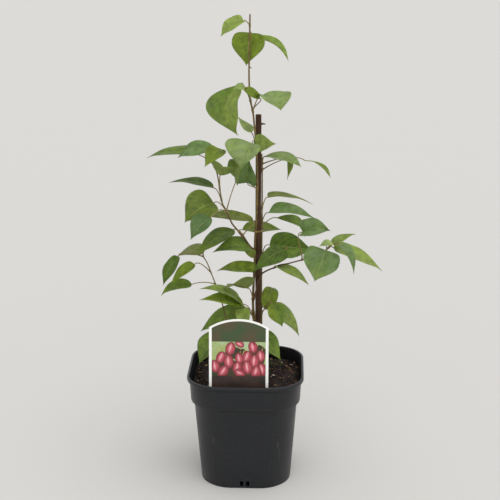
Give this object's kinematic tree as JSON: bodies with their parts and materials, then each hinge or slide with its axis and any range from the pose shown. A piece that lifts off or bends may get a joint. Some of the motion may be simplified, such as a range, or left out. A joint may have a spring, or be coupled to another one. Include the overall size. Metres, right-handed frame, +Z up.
{
  "type": "hardy kiwi vine in a pot",
  "caption": "Young climbing vine with toothed oval leaves on thin woody stems, tied to a dowel stake in a square nursery pot of soil, with a picture label card.",
  "frame": {"origin": "middle of the pot's flat base, on the surface that it stands on", "axes": "+Z up along the pot and the stake, -Y towards the side of the pot with the label card, +X to the right as seen from there"},
  "size_m": [0.2612, 0.135, 0.52],
  "materials": {
    "pot_plastic": "moulded black nursery plastic, soft sheen",
    "soil": "dark crumbly potting soil with bark crumbs",
    "stake_wood": "rough brown cane, flat cut top",
    "label_card": null,
    "tie_twine": "ochre twine",
    "vine_leaf": "green leaves with pale veins and a waxy sheen, on golden-brown stems"
  },
  "bodies": {
    "root": {"pot": "pot_plastic", "soil": "soil", "stake": "stake_wood", "label": "label_card", "tie": "tie_twine", "main_stem": "vine_leaf", "second_stem": "vine_leaf", "left_shoot": "vine_leaf", "right_shoot": "vine_leaf", "low_shoot": "vine_leaf"}
  },
  "joints": []
}
